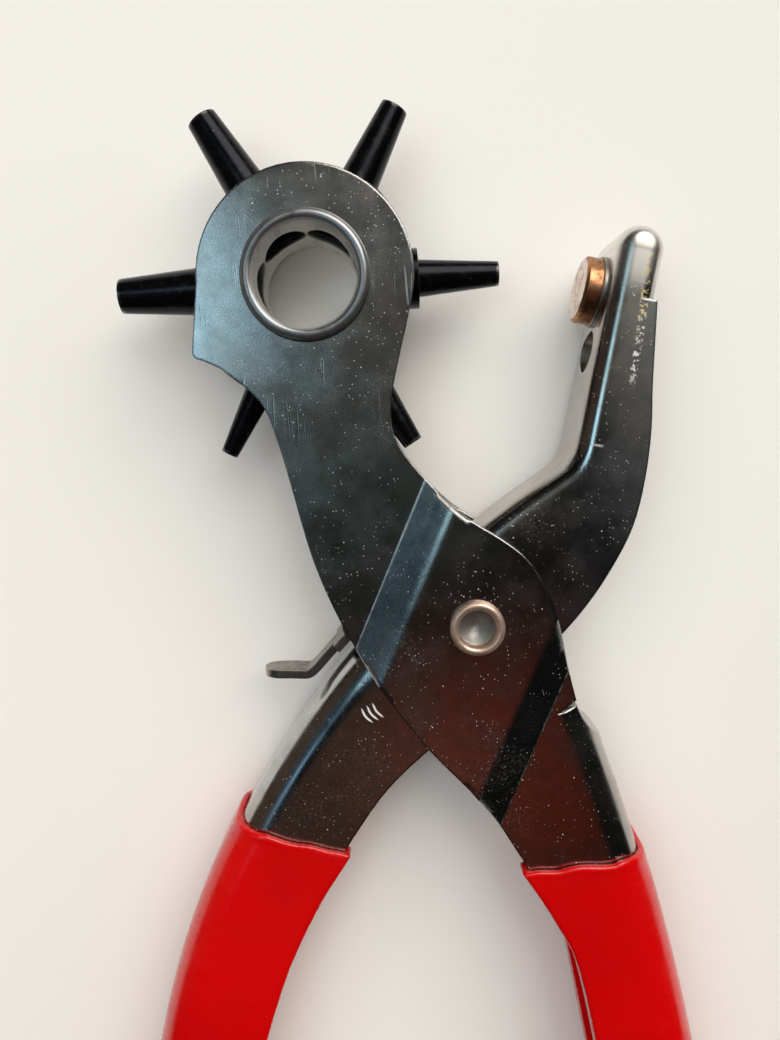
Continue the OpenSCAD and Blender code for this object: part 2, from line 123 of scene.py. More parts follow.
# Colours, linear
NICKEL = (0.540, 0.550, 0.560)
NICKEL_WARM = (0.500, 0.440, 0.390)
NICKEL_DARK = (0.300, 0.300, 0.310)
# Bare steel of worn edges, scratches and nicks, and also the colour of the painted highlight along the punch
# lever's creases
BARE_STEEL_AND_HIGHLIGHT = (0.86, 0.84, 0.81)
DULL_STEEL = (0.40, 0.385, 0.37)
BROWN_STEEL = (0.330, 0.290, 0.255)
BLACK_OXIDE = (0.013, 0.013, 0.016)
OXIDE_WORN = (0.070, 0.068, 0.070)
RIVET_METAL = (0.900, 0.640, 0.500)
# Dark grey: mottling on the pad washer and the lock pin, and the painted shade in the rivet's recess
DARK_METAL_AND_RECESS_SHADE = (0.240, 0.255, 0.245)
COPPER = (0.560, 0.270, 0.130)
COPPER_DARK = (0.120, 0.062, 0.042)
PAD_FACE = (0.800, 0.690, 0.620)
SLEEVE_METAL = (0.860, 0.845, 0.815)
RED_VINYL = (0.640, 0.0015, 0.0020)
RED_DEEP = (0.500, 0.0010, 0.0015)
FLOOR_PAPER = (0.880, 0.855, 0.815)
FLOOR_SHADE = (0.840, 0.820, 0.785)
SPECK = (0.86, 0.83, 0.78)
# Painted light on the jaw: a paler tip as a painted highlight, and a pale to gold streak as a painted
# reflection
DOME_HIGHLIGHT = (0.80, 0.77, 0.72)
REFLECTION_PALE = (0.90, 0.88, 0.84)
REFLECTION_GOLD = (0.75, 0.56, 0.16)
TUBE_EDGE = (0.36, 0.35, 0.34)
TUBE_TIP = (0.30, 0.27, 0.25)
TUBE_SPECK = (0.6, 0.58, 0.55)
DRUM_BLACK = (0.030, 0.030, 0.033)
FLANGE_METAL = (0.30, 0.31, 0.32)
FLANGE_WORN = (0.42, 0.41, 0.40)
SLEEVE_SMEAR = (0.46, 0.43, 0.40)
RIVET_STAIN = (0.46, 0.30, 0.23)
PAD_STAIN = (0.46, 0.31, 0.25)
VINYL_DUST = (0.85, 0.70, 0.66)
SPRING_STEEL = (0.55, 0.55, 0.56)
LOCK_DARK = (0.20, 0.17, 0.15)
PIN_STEEL = (0.24, 0.13, 0.11)
SKY_BELOW = (0.84, 0.80, 0.74)
SKY_ABOVE = (0.006, 0.0065, 0.006)
BACKDROP = (0.80, 0.775, 0.735)

# Windows in the sky for the metal to mirror: direction, cosines at the outer rim and at the full core, glow
WINDOWS = (
    ((-0.33, 0.18, 0.93), 0.980, 0.9975, (1.30, 2.10, 2.45)),
    ((-0.54, -0.16, 0.83), 0.990, 0.9985, (0.30, 0.55, 0.80)),
    ((-0.08, 0.27, 0.96), 0.930, 0.992, (0.075, 0.075, 0.068)),
    ((-0.05, -0.08, 0.995), 0.976, 0.998, (0.010, 0.016, 0.008)),
    ((-0.62, 0.12, 0.78), 0.970, 0.994, (0.006, 0.030, 0.045)),
    ((0.12, -0.42, 0.90), 0.981, 0.997, (0.115, 0.014, 0.004)),
    ((-0.10, -0.44, 0.89), 0.972, 0.996, (0.055, 0.030, 0.020)),
    ((-0.90, 0.05, 0.42), 0.860, 0.970, (0.075, 0.048, 0.032)),
    ((0.40, 0.10, 0.91), 0.972, 0.997, (0.160, 0.170, 0.170)),
    ((0.40, 0.62, 0.67), 0.885, 0.955, (4.2, 4.05, 3.8)),
)


# ---------------------------------------------------------------- shader helpers

class Shader:
    """A node material under construction, with short ways to add and join nodes."""

    def __init__(self, name):
        self.material = bpy.data.materials.new(name)
        self.material.use_nodes = True
        self.tree = self.material.node_tree
        self.tree.nodes.clear()
        self.out = self.tree.nodes.new("ShaderNodeOutputMaterial")
        self.surface = self.tree.nodes.new("ShaderNodeBsdfPrincipled")
        self.join(self.surface.outputs["BSDF"], self.out.inputs["Surface"])
        self.place = self.tree.nodes.new("ShaderNodeTexCoord").outputs["Object"]

    def join(self, source, target):
        self.tree.links.new(source, target)

    def feed(self, target, value):
        if isinstance(value, bpy.types.NodeSocket):
            self.join(value, target)
        elif isinstance(value, (tuple, list, Vector)) and len(value) == 3 and target.type == "RGBA":
            target.default_value = (*value, 1.0)
        else:
            target.default_value = value

    def set(self, **values):
        """Sets inputs of the surface shader by name, with _ for a space."""
        for key, value in values.items():
            self.feed(self.surface.inputs[key.replace("_", " ")], value)

    def math(self, operation, a, b=0.0, clamp=False):
        node = self.tree.nodes.new("ShaderNodeMath")
        node.operation = operation
        node.use_clamp = clamp
        for socket, value in zip(node.inputs, (a, b)):
            self.feed(socket, value)
        return node.outputs[0]

    def vector(self, operation, a, b=(0.0, 0.0, 0.0)):
        node = self.tree.nodes.new("ShaderNodeVectorMath")
        node.operation = operation
        self.feed(node.inputs[0], a)
        if operation == "SCALE":
            self.feed(node.inputs["Scale"], b)
        else:
            self.feed(node.inputs[1], b)
        return node.outputs["Value" if operation in ("LENGTH", "DOT_PRODUCT", "DISTANCE") else "Vector"]

    def ramp(self, value, low, high, to_low=0.0, to_high=1.0):
        """A smooth step of value, from to_low at low to to_high at high."""
        node = self.tree.nodes.new("ShaderNodeMapRange")
        node.interpolation_type = "SMOOTHSTEP"
        for name, number in (("From Min", low), ("From Max", high), ("To Min", to_low), ("To Max", to_high)):
            node.inputs[name].default_value = number
        self.feed(node.inputs["Value"], value)
        return node.outputs["Result"]

    def mix(self, share, a, b):
        node = self.tree.nodes.new("ShaderNodeMix")
        node.data_type = "RGBA"
        self.feed(node.inputs["Factor"], share)
        self.feed(node.inputs["A"], a)
        self.feed(node.inputs["B"], b)
        return node.outputs["Result"]

    def noise(self, size, detail=3.0, roughness=0.55, stretch=(1, 1, 1), turn=0.0, place=None):
        """Noise whose features are about size metres across, stretched along the axes."""
        scaled = self.tree.nodes.new("ShaderNodeMapping")
        self.join(place or self.place, scaled.inputs["Vector"])
        scaled.inputs["Rotation"].default_value = (0, 0, turn)
        scaled.inputs["Scale"].default_value = [1 / (size * s) for s in stretch]
        node = self.tree.nodes.new("ShaderNodeTexNoise")
        node.inputs["Scale"].default_value = 1.0
        node.inputs["Detail"].default_value = detail
        node.inputs["Roughness"].default_value = roughness
        self.join(scaled.outputs["Vector"], node.inputs["Vector"])
        return node.outputs["Fac"]

    def specks(self, spacing, radius, share):
        """Small round dots scattered on a jittered grid; only a share of the cells holds one."""
        node = self.tree.nodes.new("ShaderNodeTexVoronoi")
        node.inputs["Scale"].default_value = 1 / spacing
        self.join(self.place, node.inputs["Vector"])
        chosen = self.math("LESS_THAN", self.red(node.outputs["Color"]), share)
        dot = self.ramp(node.outputs["Distance"], radius / spacing, 0.5 * radius / spacing)
        return self.math("MULTIPLY", chosen, dot)

    def red(self, colour):
        node = self.tree.nodes.new("ShaderNodeSeparateColor")
        self.join(colour, node.inputs["Color"])
        return node.outputs["Red"]

    def axis(self, name, place=None):
        node = self.tree.nodes.new("ShaderNodeSeparateXYZ")
        self.join(place or self.place, node.inputs["Vector"])
        return node.outputs[name]

    def from_axis(self, centre):
        """Distance from an upright axis through centre."""
        offset = self.vector("SUBTRACT", self.place, tuple(centre))
        return self.vector("LENGTH", self.vector("MULTIPLY", offset, (1, 1, 0)))

    def rings_place(self, reach):
        """A place that depends only on reach, for rings turned round an axis."""
        node = self.tree.nodes.new("ShaderNodeCombineXYZ")
        self.join(reach, node.inputs["X"])
        return node.outputs["Vector"]

    def rounded(self, radius):
        node = self.tree.nodes.new("ShaderNodeBevel")
        node.samples = 6
        node.inputs["Radius"].default_value = radius
        return node.outputs["Normal"]

    def edges(self, round_normal):
        """1 on a sharp edge, 0 on a smooth face."""
        plain = self.tree.nodes.new("ShaderNodeNewGeometry").outputs["Normal"]
        return self.ramp(self.vector("DOT_PRODUCT", round_normal, plain), 0.985, 0.80)

    def bump(self, height, depth, normal=None, strength=1.0):
        node = self.tree.nodes.new("ShaderNodeBump")
        node.inputs["Strength"].default_value = strength
        node.inputs["Distance"].default_value = depth
        self.join(height, node.inputs["Height"])
        if normal is not None:
            self.join(normal, node.inputs["Normal"])
        return node.outputs["Normal"]

    def finish(self, roughness, normal, base):
        self.feed(self.surface.inputs["Roughness"], roughness)
        self.feed(self.surface.inputs["Normal"], normal)
        self.feed(self.surface.inputs["Base Color"], base)
        return self.material


def scratches(s, size, turn, width=0.012, stretch=(1, 26, 1)):
    """Thin lines: the places where a stretched noise crosses its middle value."""
    field = s.noise(size, 1.0, 0.4, stretch=stretch, turn=turn)
    line = s.ramp(s.math("ABSOLUTE", s.math("SUBTRACT", field, 0.5)), width, 0.0)
    gate = s.ramp(s.noise(9 * MM, 2.0), 0.52, 0.62)
    return s.math("MULTIPLY", line, gate)


# ---------------------------------------------------------------- materials

def plated_steel(name, extra, bend=None):
    """Dark satin nickel plate: cloudy tone, fine grain, bright specks, hairline scratches, worn edges.

    extra adds the lever's own marks, with painted highlights and a painted reflection among them. bend gives
    a mask of the places where the sheet is bent softly.
    """
    s = Shader(name)
    cloud = s.noise(26 * MM, 3.0, 0.5)
    tone = s.mix(s.ramp(cloud, 0.42, 0.68), NICKEL, NICKEL_WARM)
    mottle = s.noise(2.2 * MM, 4.0, 0.65)
    tone = s.mix(s.ramp(mottle, 0.35, 0.75, 0.0, 0.45), tone, NICKEL_DARK)
    grain = s.noise(0.19 * MM, 2.0, 0.6)
    tone = s.mix(s.ramp(grain, 0.40, 0.70, 0.0, 0.30), tone, NICKEL_DARK)
    hair = s.math("MAXIMUM", scratches(s, 1.9 * MM, 0.5), scratches(s, 2.6 * MM, -0.9))
    crowd = s.ramp(s.noise(6 * MM, 3.0, 0.6), 0.40, 0.62, 0.12, 0.9)
    fine = s.math("MULTIPLY", s.specks(0.52 * MM, 0.085 * MM, 0.50), crowd)
    specks = s.math("MAXIMUM", fine, s.specks(1.9 * MM, 0.12 * MM, 0.30))
    powder = s.noise(0.45 * MM, 3.0, 0.7)
    cluster = s.ramp(s.noise(13 * MM, 4.0, 0.7), 0.48, 0.74)
    haze = s.math("MULTIPLY", cluster, s.ramp(powder, 0.48, 0.70, 0.0, 0.10))
    normal = s.rounded(0.45 * MM)
    worn = s.math("MULTIPLY", s.edges(normal), s.ramp(s.noise(1.6 * MM, 3.0), 0.25, 0.6, 0.35, 0.95))
    tone = s.mix(s.math("MULTIPLY", hair, 0.45), tone, DULL_STEEL)
    tone = s.mix(worn, tone, BARE_STEEL_AND_HIGHLIGHT)
    dust = s.math("MAXIMUM", s.math("MULTIPLY", specks, 0.8), haze)
    tone = s.mix(dust, tone, SPECK)
    rough = s.math("ADD", s.ramp(s.noise(7 * MM, 4.0, 0.6), 0.3, 0.7, 0.15, 0.24),
                   s.math("MULTIPLY", dust, 0.4))
    tone, rough, pale = extra(s, tone, rough)
    if bend is not None:
        normal = s.mix(bend(s), normal, s.rounded(1.5 * MM))
    raised = s.math("ADD", s.math("MULTIPLY", grain, 0.55), s.math("MULTIPLY", specks, 0.8))
    relief = s.math("SUBTRACT", raised, s.math("MULTIPLY", hair, 0.6))
    s.set(Metallic=s.math("SUBTRACT", 1.0, s.math("MAXIMUM", dust, pale)))
    return s.finish(rough, s.bump(relief, 0.016 * MM, normal, 0.6), tone)


def across_creases(s):
    """Signed distance from the pivot, square to the creases."""
    return s.vector("DOT_PRODUCT", s.vector("SUBTRACT", s.place, tuple(PIVOT)), CREASE_ACROSS)


def crease_highlight(s, tone, rough):
    """A painted highlight: a broken bright line along each outer crease of the raised cheeks."""
    over = across_creases(s)
    broken = s.ramp(s.noise(1.3 * MM, 4.0, 0.7), 0.38, 0.60, 0.15, 0.75)
    for crease in (CREASE_UP, CREASE_DOWN):
        line = s.ramp(s.math("ABSOLUTE", s.math("SUBTRACT", over, crease)), 0.16 * MM, 0.04 * MM)
        line = s.math("MULTIPLY", line, broken)
        # painted highlight: each crease line is painted in the bright bare steel colour
        tone = s.mix(line, tone, BARE_STEEL_AND_HIGHLIGHT)
        rough = s.math("ADD", rough, s.math("MULTIPLY", line, 0.35))
    return tone, rough, 0.0


def soft_bend(s):
    """The inner end of each ramp, where the sheet comes round to the raised cheek in a soft bend."""
    over = across_creases(s)
    masks = []
    for end in (CREASE_UP + RAMP, CREASE_DOWN - RAMP):
        masks.append(s.ramp(s.math("ABSOLUTE", s.math("SUBTRACT", over, end)), 3.4 * MM, 2.4 * MM))
    return s.math("MAXIMUM", *masks)


def jaw_marks_and_highlights(s, tone, rough):
    """A painted highlight on the jaw's rounded tip, which is also made rougher, a painted reflection as a
    broken streak down its outer side, and three nicks on the handle.
    """
    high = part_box("anvil_lever")[1]
    height = s.axis("Y")
    wander = s.math("MULTIPLY", s.noise(3 * MM, 3.0), 3 * MM)
    # painted highlight: the jaw's tip is painted paler towards its top
    dome = below_top(s, s.math("ADD", height, wander), high.y, DOME_FADE)
    tone = s.mix(dome, tone, DOME_HIGHLIGHT)
    rough = s.math("ADD", rough, s.math("MULTIPLY", dome, 0.14))
    # painted reflection: a broken pale to gold streak down the jaw's outer side, also made less metallic
    reflection = reflection_streak(s, high, height)
    tone = s.mix(reflection, tone, s.mix(below_top(s, height, high.y, REFLECTION_GOLD_FADE), REFLECTION_PALE, REFLECTION_GOLD))
    rough = s.math("ADD", rough, s.math("MULTIPLY", reflection, 0.4))
    nicks = handle_nicks(s)
    pale = s.math("MAXIMUM", s.math("MULTIPLY", nicks, 0.8), s.math("MULTIPLY", reflection, 0.5))
    return s.mix(nicks, tone, BARE_STEEL_AND_HIGHLIGHT), s.math("ADD", rough, s.math("MULTIPLY", nicks, 0.5)), pale


def below_top(s, height, top, fade):
    """A step from 0 to 1 between two depths below top."""
    return s.ramp(height, top - fade[0], top - fade[1])


def reflection_streak(s, high, height):
    """Mask of a painted reflection: a broken streak down the jaw's outer side. high is the upper corner of
    the lever's box.
    """
    start = Vector((high.x - REFLECTION_INSET, high.y - REFLECTION_DROP, 0))
    across = s.vector("DOT_PRODUCT", s.vector("SUBTRACT", s.place, tuple(start)), REFLECTION_ACROSS)
    side = s.ramp(s.math("ABSOLUTE", across), 0.75 * MM, 0.30 * MM)
    side = s.math("MULTIPLY", side, below_top(s, height, high.y, REFLECTION_FOOT))
    side = s.math("MULTIPLY", side, below_top(s, height, high.y, REFLECTION_HEAD))
    return s.math("MULTIPLY", side, s.ramp(s.noise(0.55 * MM, 3.0, 0.7), 0.53, 0.60))


def handle_nicks(s):
    """Mask of the short parallel arcs on the upper face of the handle."""
    nicks = None
    for step in range(NICKS):
        centre = PIVOT + NICK_CENTRE + step * NICK_STEP_MM * MM
        off_arc = s.math("ABSOLUTE", s.math("SUBTRACT", s.from_axis(centre), NICK_R))
        arc = s.ramp(off_arc, 0.22 * MM, 0.09 * MM)
        offset = s.vector("SUBTRACT", s.place, tuple(centre))
        lean = s.vector("DOT_PRODUCT", offset, NICK_SIDE)
        facing = s.math("MULTIPLY", s.ramp(lean, 2.02 * MM, 2.2 * MM),
                        s.ramp(s.axis("Z", offset), 5 * MM, 6 * MM))
        nick = s.math("MULTIPLY", arc, facing)
        nicks = nick if nicks is None else s.math("MAXIMUM", nicks, nick)
    return nicks


def plain_steel(name, base, dark, rough=0.34, turn=0.0, stretch=(1, 14, 1), wear=0.7):
    """Brushed or drawn steel with darker mottling and bright edges."""
    s = Shader(name)
    brushed = s.noise(0.22 * MM, 2.0, 0.6, stretch=stretch, turn=turn)
    mottle = s.noise(1.8 * MM, 4.0, 0.65)
    normal = s.rounded(0.25 * MM)
    tone = s.mix(s.ramp(mottle, 0.38, 0.72), base, dark)
    tone = s.mix(s.math("MULTIPLY", s.ramp(brushed, 0.45, 0.75), 0.22), tone, BARE_STEEL_AND_HIGHLIGHT)
    tone = s.mix(s.math("MULTIPLY", s.edges(normal), wear), tone, BARE_STEEL_AND_HIGHLIGHT)
    s.set(Metallic=1.0)
    gloss = s.ramp(mottle, 0.3, 0.7, rough, rough + 0.16)
    return s.finish(gloss, s.bump(brushed, 0.010 * MM, normal, 0.5), tone)


def black_tube():
    """Glossy black oxide with turned rings round each tube and a rubbed cutting edge."""
    s = Shader("tube_black")
    reach = s.from_axis(TURRET)
    rings = s.noise(0.12 * MM, 1.0, 0.5, place=s.rings_place(reach))
    smudge = s.noise(1.5 * MM, 4.0, 0.6)
    normal = s.rounded(0.22 * MM)
    full_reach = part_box("punch_tube_1")[1].x - TURRET.x
    tip = s.ramp(reach, full_reach - 0.55 * MM, full_reach - 0.1 * MM)
    rubbed = s.math("MULTIPLY", s.ramp(smudge, 0.55, 0.72), 0.30)
    worn = s.math("MULTIPLY", s.edges(normal), s.ramp(s.noise(0.9 * MM, 3.0), 0.42, 0.62, 0.08, 0.75))
    tone = s.mix(rubbed, BLACK_OXIDE, OXIDE_WORN)
    tone = s.mix(worn, tone, TUBE_EDGE)
    tone = s.mix(s.math("MULTIPLY", tip, s.ramp(smudge, 0.40, 0.60, 0.15, 0.8)), tone, TUBE_TIP)
    specks = s.specks(1.1 * MM, 0.06 * MM, 0.22)
    tone = s.mix(specks, tone, TUBE_SPECK)
    rough = s.math("ADD", s.ramp(smudge, 0.3, 0.7, 0.16, 0.30), s.math("MULTIPLY", specks, 0.3))
    s.set(Metallic=0.85, Specular_IOR_Level=0.3)
    return s.finish(rough, s.bump(rings, 0.010 * MM, normal, 0.45), tone)


def black_drum():
    """Satin black with greyer mottling and rubbed edges."""
    s = Shader("drum_black")
    mottle = s.noise(1.4 * MM, 4.0, 0.65)
    normal = s.rounded(0.25 * MM)
    tone = s.mix(s.ramp(mottle, 0.45, 0.75, 0, 0.4), DRUM_BLACK, OXIDE_WORN)
    tone = s.mix(s.math("MULTIPLY", s.edges(normal), 0.45), tone, DULL_STEEL)
    s.set(Metallic=0.7)
    return s.finish(s.ramp(mottle, 0.3, 0.7, 0.30, 0.46), s.bump(mottle, 0.02 * MM, normal, 0.4), tone)


def axle_metal():
    """Dark rolled flanges outside, a bright wiped sleeve inside."""
    s = Shader("axle_metal")
    low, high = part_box("turret_axle")
    bore_r = (high.x - low.x) / 2 - FLANGE_WIDTH
    inside = s.ramp(s.from_axis(TURRET), bore_r + 0.30 * MM, bore_r + 0.08 * MM)
    smear = s.noise(2.4 * MM, 4.0, 0.6, stretch=(1, 1, 2.5))
    normal = s.rounded(0.2 * MM)
    flange = s.mix(s.ramp(smear, 0.4, 0.7, 0, 0.5), FLANGE_METAL, FLANGE_WORN)
    sleeve = s.mix(s.ramp(smear, 0.52, 0.74, 0, 0.5), SLEEVE_METAL, SLEEVE_SMEAR)
    tone = s.mix(inside, flange, sleeve)
    tone = s.mix(s.specks(1.2 * MM, 0.07 * MM, 0.3), tone, SPECK)
    rough = s.math("ADD", s.ramp(smear, 0.3, 0.7, 0.26, 0.36), s.math("MULTIPLY", inside, 0.22))
    s.set(Metallic=0.9)
    return s.finish(rough, s.bump(s.noise(0.2 * MM, 2.0), 0.010 * MM, normal, 0.5), tone)


def rivet_metal():
    """Coppery silver rolled lip, polished by the set, with a dull recess that is painted dark as painted
    shade.
    """
    s = Shader("rivet_metal")
    low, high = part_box("pivot_rivet")
    lip_r = 2.85 * MM
    depth = s.ramp(s.axis("Z"), high.z - 0.75 * MM, high.z - 1.3 * MM)
    recess = s.math("MULTIPLY", s.ramp(s.from_axis(PIVOT), lip_r, lip_r - 0.25 * MM), depth)
    lower = s.ramp(s.axis("Z"), low.z + 3 * MM, low.z + 2 * MM)
    recess = s.math("SUBTRACT", recess, lower, clamp=True)
    stain = s.noise(0.9 * MM, 4.0, 0.65)
    tone = s.mix(s.ramp(stain, 0.42, 0.70, 0, 0.75), RIVET_METAL, RIVET_STAIN)
    # painted shade: the recess inside the rolled lip is painted dark
    tone = s.mix(s.math("MULTIPLY", recess, 0.9), tone, DARK_METAL_AND_RECESS_SHADE)
    rough = s.math("ADD", s.ramp(stain, 0.3, 0.7, 0.22, 0.36), s.math("MULTIPLY", recess, 0.10))
    s.set(Metallic=0.86)
    return s.finish(s.math("ADD", rough, 0.12), s.bump(stain, 0.03 * MM, s.rounded(0.15 * MM), 0.45), tone)


def anvil_copper():
    """Copper rim gone brown, and a pale pinkish face with shallow ring dents from the tubes."""
    s = Shader("pad_copper")
    low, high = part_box("anvil_pad")
    across = Vector((math.cos(OPEN_ANGLE), -math.sin(OPEN_ANGLE), 0))
    facing = s.tree.nodes.new("ShaderNodeTexCoord").outputs["Normal"]
    face = s.ramp(s.vector("DOT_PRODUCT", facing, tuple(-across)), 0.75, 0.93)
    stain = s.noise(1.3 * MM, 5.0, 0.65)
    rim = s.mix(s.ramp(stain, 0.44, 0.70), COPPER, COPPER_DARK)
    worn_face = s.mix(s.ramp(stain, 0.48, 0.72), PAD_FACE, PAD_STAIN)
    centre = (low + high) / 2
    dents = None
    for shift, radius in PAD_DENTS:
        middle = centre + Vector((-across.y * shift[0], across.x * shift[0], shift[1])) * MM
        flat = s.vector("SUBTRACT", s.place, tuple(middle))
        along = s.vector("DOT_PRODUCT", flat, tuple(across))
        spread = s.vector("LENGTH", s.vector("SUBTRACT", flat, s.vector("SCALE", tuple(across), along)))
        ring = s.ramp(s.math("ABSOLUTE", s.math("SUBTRACT", spread, radius * MM)), 0.16 * MM, 0.02 * MM)
        dents = ring if dents is None else s.math("MAXIMUM", dents, ring)
    dents = s.math("MULTIPLY", dents, face)
    tone = s.mix(face, rim, worn_face)
    tone = s.mix(s.math("MULTIPLY", dents, 0.7), tone, COPPER)
    relief = s.math("SUBTRACT", s.math("MULTIPLY", stain, 0.5), dents)
    s.set(Metallic=1.0)
    rough = s.ramp(stain, 0.3, 0.7, 0.30, 0.48)
    return s.finish(rough, s.bump(relief, 0.06 * MM, s.rounded(0.2 * MM), 0.6), tone)


def red_vinyl():
    """Thick dipped vinyl: wet gloss, slow flow ripples, faint orange peel, dust."""
    s = Shader("grip_vinyl")
    flow = s.noise(9 * MM, 2.0, 0.5, stretch=(1, 2.6, 1))
    peel = s.noise(0.55 * MM, 2.0, 0.5)
    depth = s.noise(20 * MM, 3.0, 0.5)
    tone = s.mix(s.ramp(depth, 0.35, 0.72, 0, 0.55), RED_VINYL, RED_DEEP)
    dust = s.math("MULTIPLY", s.specks(3.2 * MM, 0.07 * MM, 0.20), s.ramp(s.noise(12 * MM), 0.48, 0.60))
    tone = s.mix(dust, tone, VINYL_DUST)
    rough = s.math("ADD", s.ramp(s.noise(5 * MM, 3.0), 0.3, 0.7, 0.20, 0.31), s.math("MULTIPLY", dust, 0.3))
    relief = s.math("ADD", s.math("MULTIPLY", flow, 3.5), s.math("MULTIPLY", peel, 0.35))
    s.set(Specular_IOR_Level=0.5, Coat_Weight=0.25, Coat_Roughness=0.12, Subsurface_Weight=0.04,
          Subsurface_Scale=0.001)
    return s.finish(rough, s.bump(relief, 0.035 * MM, None, 0.6), tone)


def pale_floor():
    """Matt pale paper with a slow cloud and a fine fibre."""
    s = Shader("floor_paper")
    cloud = s.noise(0.16, 3.0, 0.5)
    fibre = s.noise(0.8 * MM, 3.0, 0.6)
    tone = s.mix(s.ramp(cloud, 0.35, 0.7, 0, 0.5), FLOOR_PAPER, FLOOR_SHADE)
    return s.finish(s.ramp(fibre, 0.3, 0.7, 0.75, 0.9), s.bump(fibre, 0.02 * MM, None, 0.25), tone)


# ---------------------------------------------------------------- the CAD nodes' own finish

def smooth_shading():
    """Joins the CAD faces and shades them smooth, leaving edges sharper than CRISP_ANGLE crisp."""
    group = bpy.data.node_groups.new("smooth_by_angle", "GeometryNodeTree")
    group.interface.new_socket("Geometry", in_out="INPUT", socket_type="NodeSocketGeometry")
    group.interface.new_socket("Geometry", in_out="OUTPUT", socket_type="NodeSocketGeometry")
    start = group.nodes.new("NodeGroupInput")
    end = group.nodes.new("NodeGroupOutput")
    weld = group.nodes.new("GeometryNodeMergeByDistance")
    weld.inputs["Distance"].default_value = SEAM_GAP
    plain = group.nodes.new("GeometryNodeRemoveAttribute")
    plain.inputs["Name"].default_value = "custom_normal"
    soft = group.nodes.new("GeometryNodeSetShadeSmooth")
    soft.domain = "FACE"
    crisp = group.nodes.new("GeometryNodeSetShadeSmooth")
    crisp.domain = "EDGE"
    angle = group.nodes.new("GeometryNodeInputMeshEdgeAngle")
    below = group.nodes.new("FunctionNodeCompare")
    below.operation = "LESS_THAN"
    below.inputs["B"].default_value = CRISP_ANGLE
    links = group.links
    links.new(angle.outputs["Unsigned Angle"], below.inputs["A"])
    links.new(start.outputs[0], weld.inputs["Geometry"])
    links.new(weld.outputs["Geometry"], plain.inputs["Geometry"])
    links.new(plain.outputs["Geometry"], soft.inputs["Geometry"])
    links.new(soft.outputs["Geometry"], crisp.inputs["Geometry"])
    links.new(below.outputs["Result"], crisp.inputs["Shade Smooth"])
    links.new(crisp.outputs["Geometry"], end.inputs[0])
    return group


def dress(names, material, group):
    for name in names:
        node = NODES[name]
        if not node.material_slots:
            node.data.materials.append(None)
        node.material_slots[0].material = material
        node.modifiers.new("smooth_by_angle", "NODES").node_group = group


# ---------------------------------------------------------------- reworked copies: grips and spring

def reworked_copy(node_name, suffix, material, add_modifiers):
    """A new object with a CAD node's mesh, welded, put through some modifiers and shaded smooth."""
    piece = bpy.data.objects.new(node_name + suffix, NODES[node_name].data.copy())
    bpy.context.scene.collection.objects.link(piece)
    piece.modifiers.new("weld", "WELD").merge_threshold = WELD_GAP
    add_modifiers(piece)
    depsgraph = bpy.context.evaluated_depsgraph_get()
    shaped = bpy.data.meshes.new_from_object(piece.evaluated_get(depsgraph))
    piece.modifiers.clear()
    piece.data = shaped
    shaped.polygons.foreach_set("use_smooth", np.ones(len(shaped.polygons), bool))
    shaped.materials.clear()
    shaped.materials.append(material)
    return piece


def soften(piece):
    """Rounds a grip's edges as a dip does."""
    remesh = piece.modifiers.new("remesh", "REMESH")
    remesh.mode = "VOXEL"
    remesh.voxel_size = GRIP_VOXEL
    relax = piece.modifiers.new("relax", "SMOOTH")
    relax.factor = 0.5
    relax.iterations = 5


def round_off(piece):
    """Rounds the facets of the wire."""
    piece.modifiers.new("rounder", "SUBSURF").levels = 1


def dipped_grip(node_name, body, along, material):
    """A soft-edged copy of a CAD grip with a wavy, beaded lip.

    along is the unit vector from the lip towards the closed end.
    """
    piece = reworked_copy(node_name, "_dip", material, soften)
    shaped = piece.data
    points = np.empty(len(shaped.vertices) * 3)
    shaped.vertices.foreach_get("co", points)
    points = points.reshape(-1, 3)
    reach = points @ np.array(along)
    top = reach.min()
    across = points @ np.array(Vector(along).cross(Vector((0, 0, 1))))
    for i, point in enumerate(points):
        depth = reach[i] - top
        if depth > LIP_REACH:
            continue
        fade = 1 - depth / LIP_REACH
        wave = noise.noise(Vector((across[i] * WAVES_ACROSS, point[2] * WAVES_UP, WAVE_SLICE)))
        points[i] += np.array(along) * (LIP_WAVE * fade * (0.5 + wave))
        bead = math.exp(-((depth - BEAD_DEPTH) / BEAD_WIDTH) ** 2)
        points[i, 2] += math.copysign(BEAD_RISE * bead, point[2] - PIVOT.z)
    shaped.vertices.foreach_set("co", points.ravel())
    shaped.update()
    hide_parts(node_name)
    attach(piece, body)


def wound_spring(material):
    """A round-wired copy of the CAD spring, which it replaces in the scene.
    """
    piece = reworked_copy("return_spring", "_wound", material, round_off)
    piece.data.update()
    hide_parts("return_spring")
    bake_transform(piece)


# ---------------------------------------------------------------- studio

def studio():
    """The floor, the sky and two soft lights."""
    far = FLOOR_REACH
    floor_mesh = bpy.data.meshes.new("floor")
    corners = [(-far, -far, 0), (far, -far, 0), (far, far, 0), (-far, far, 0)]
    floor_mesh.from_pydata(corners, [], [(0, 1, 2, 3)])
    floor = bpy.data.objects.new("floor", floor_mesh)
    floor.location.z = -FLOOR_DROP
    floor_mesh.materials.append(pale_floor())
    bpy.context.scene.collection.objects.link(floor)
    sky()
    softbox("overhead", (-0.22, 0.26, 0.74), 0.9, 4.7, (1.0, 0.975, 0.945))
    softbox("right_fill", (0.70, 0.25, 0.30), 0.40, 0.8, (0.90, 0.96, 1.0))


def softbox(name, spot, size, power, colour):
    """A square light aimed at the pivot, which the metal doesn't mirror."""
    lamp = bpy.data.lights.new(name, "AREA")
    lamp.shape = "SQUARE"
    lamp.size = size
    lamp.energy = power
    lamp.color = colour
    box = bpy.data.objects.new(name, lamp)
    box.location = spot
    box.rotation_euler = (PIVOT - Vector(spot)).to_track_quat("-Z", "Y").to_euler()
    box.visible_glossy = False
    bpy.context.scene.collection.objects.link(box)


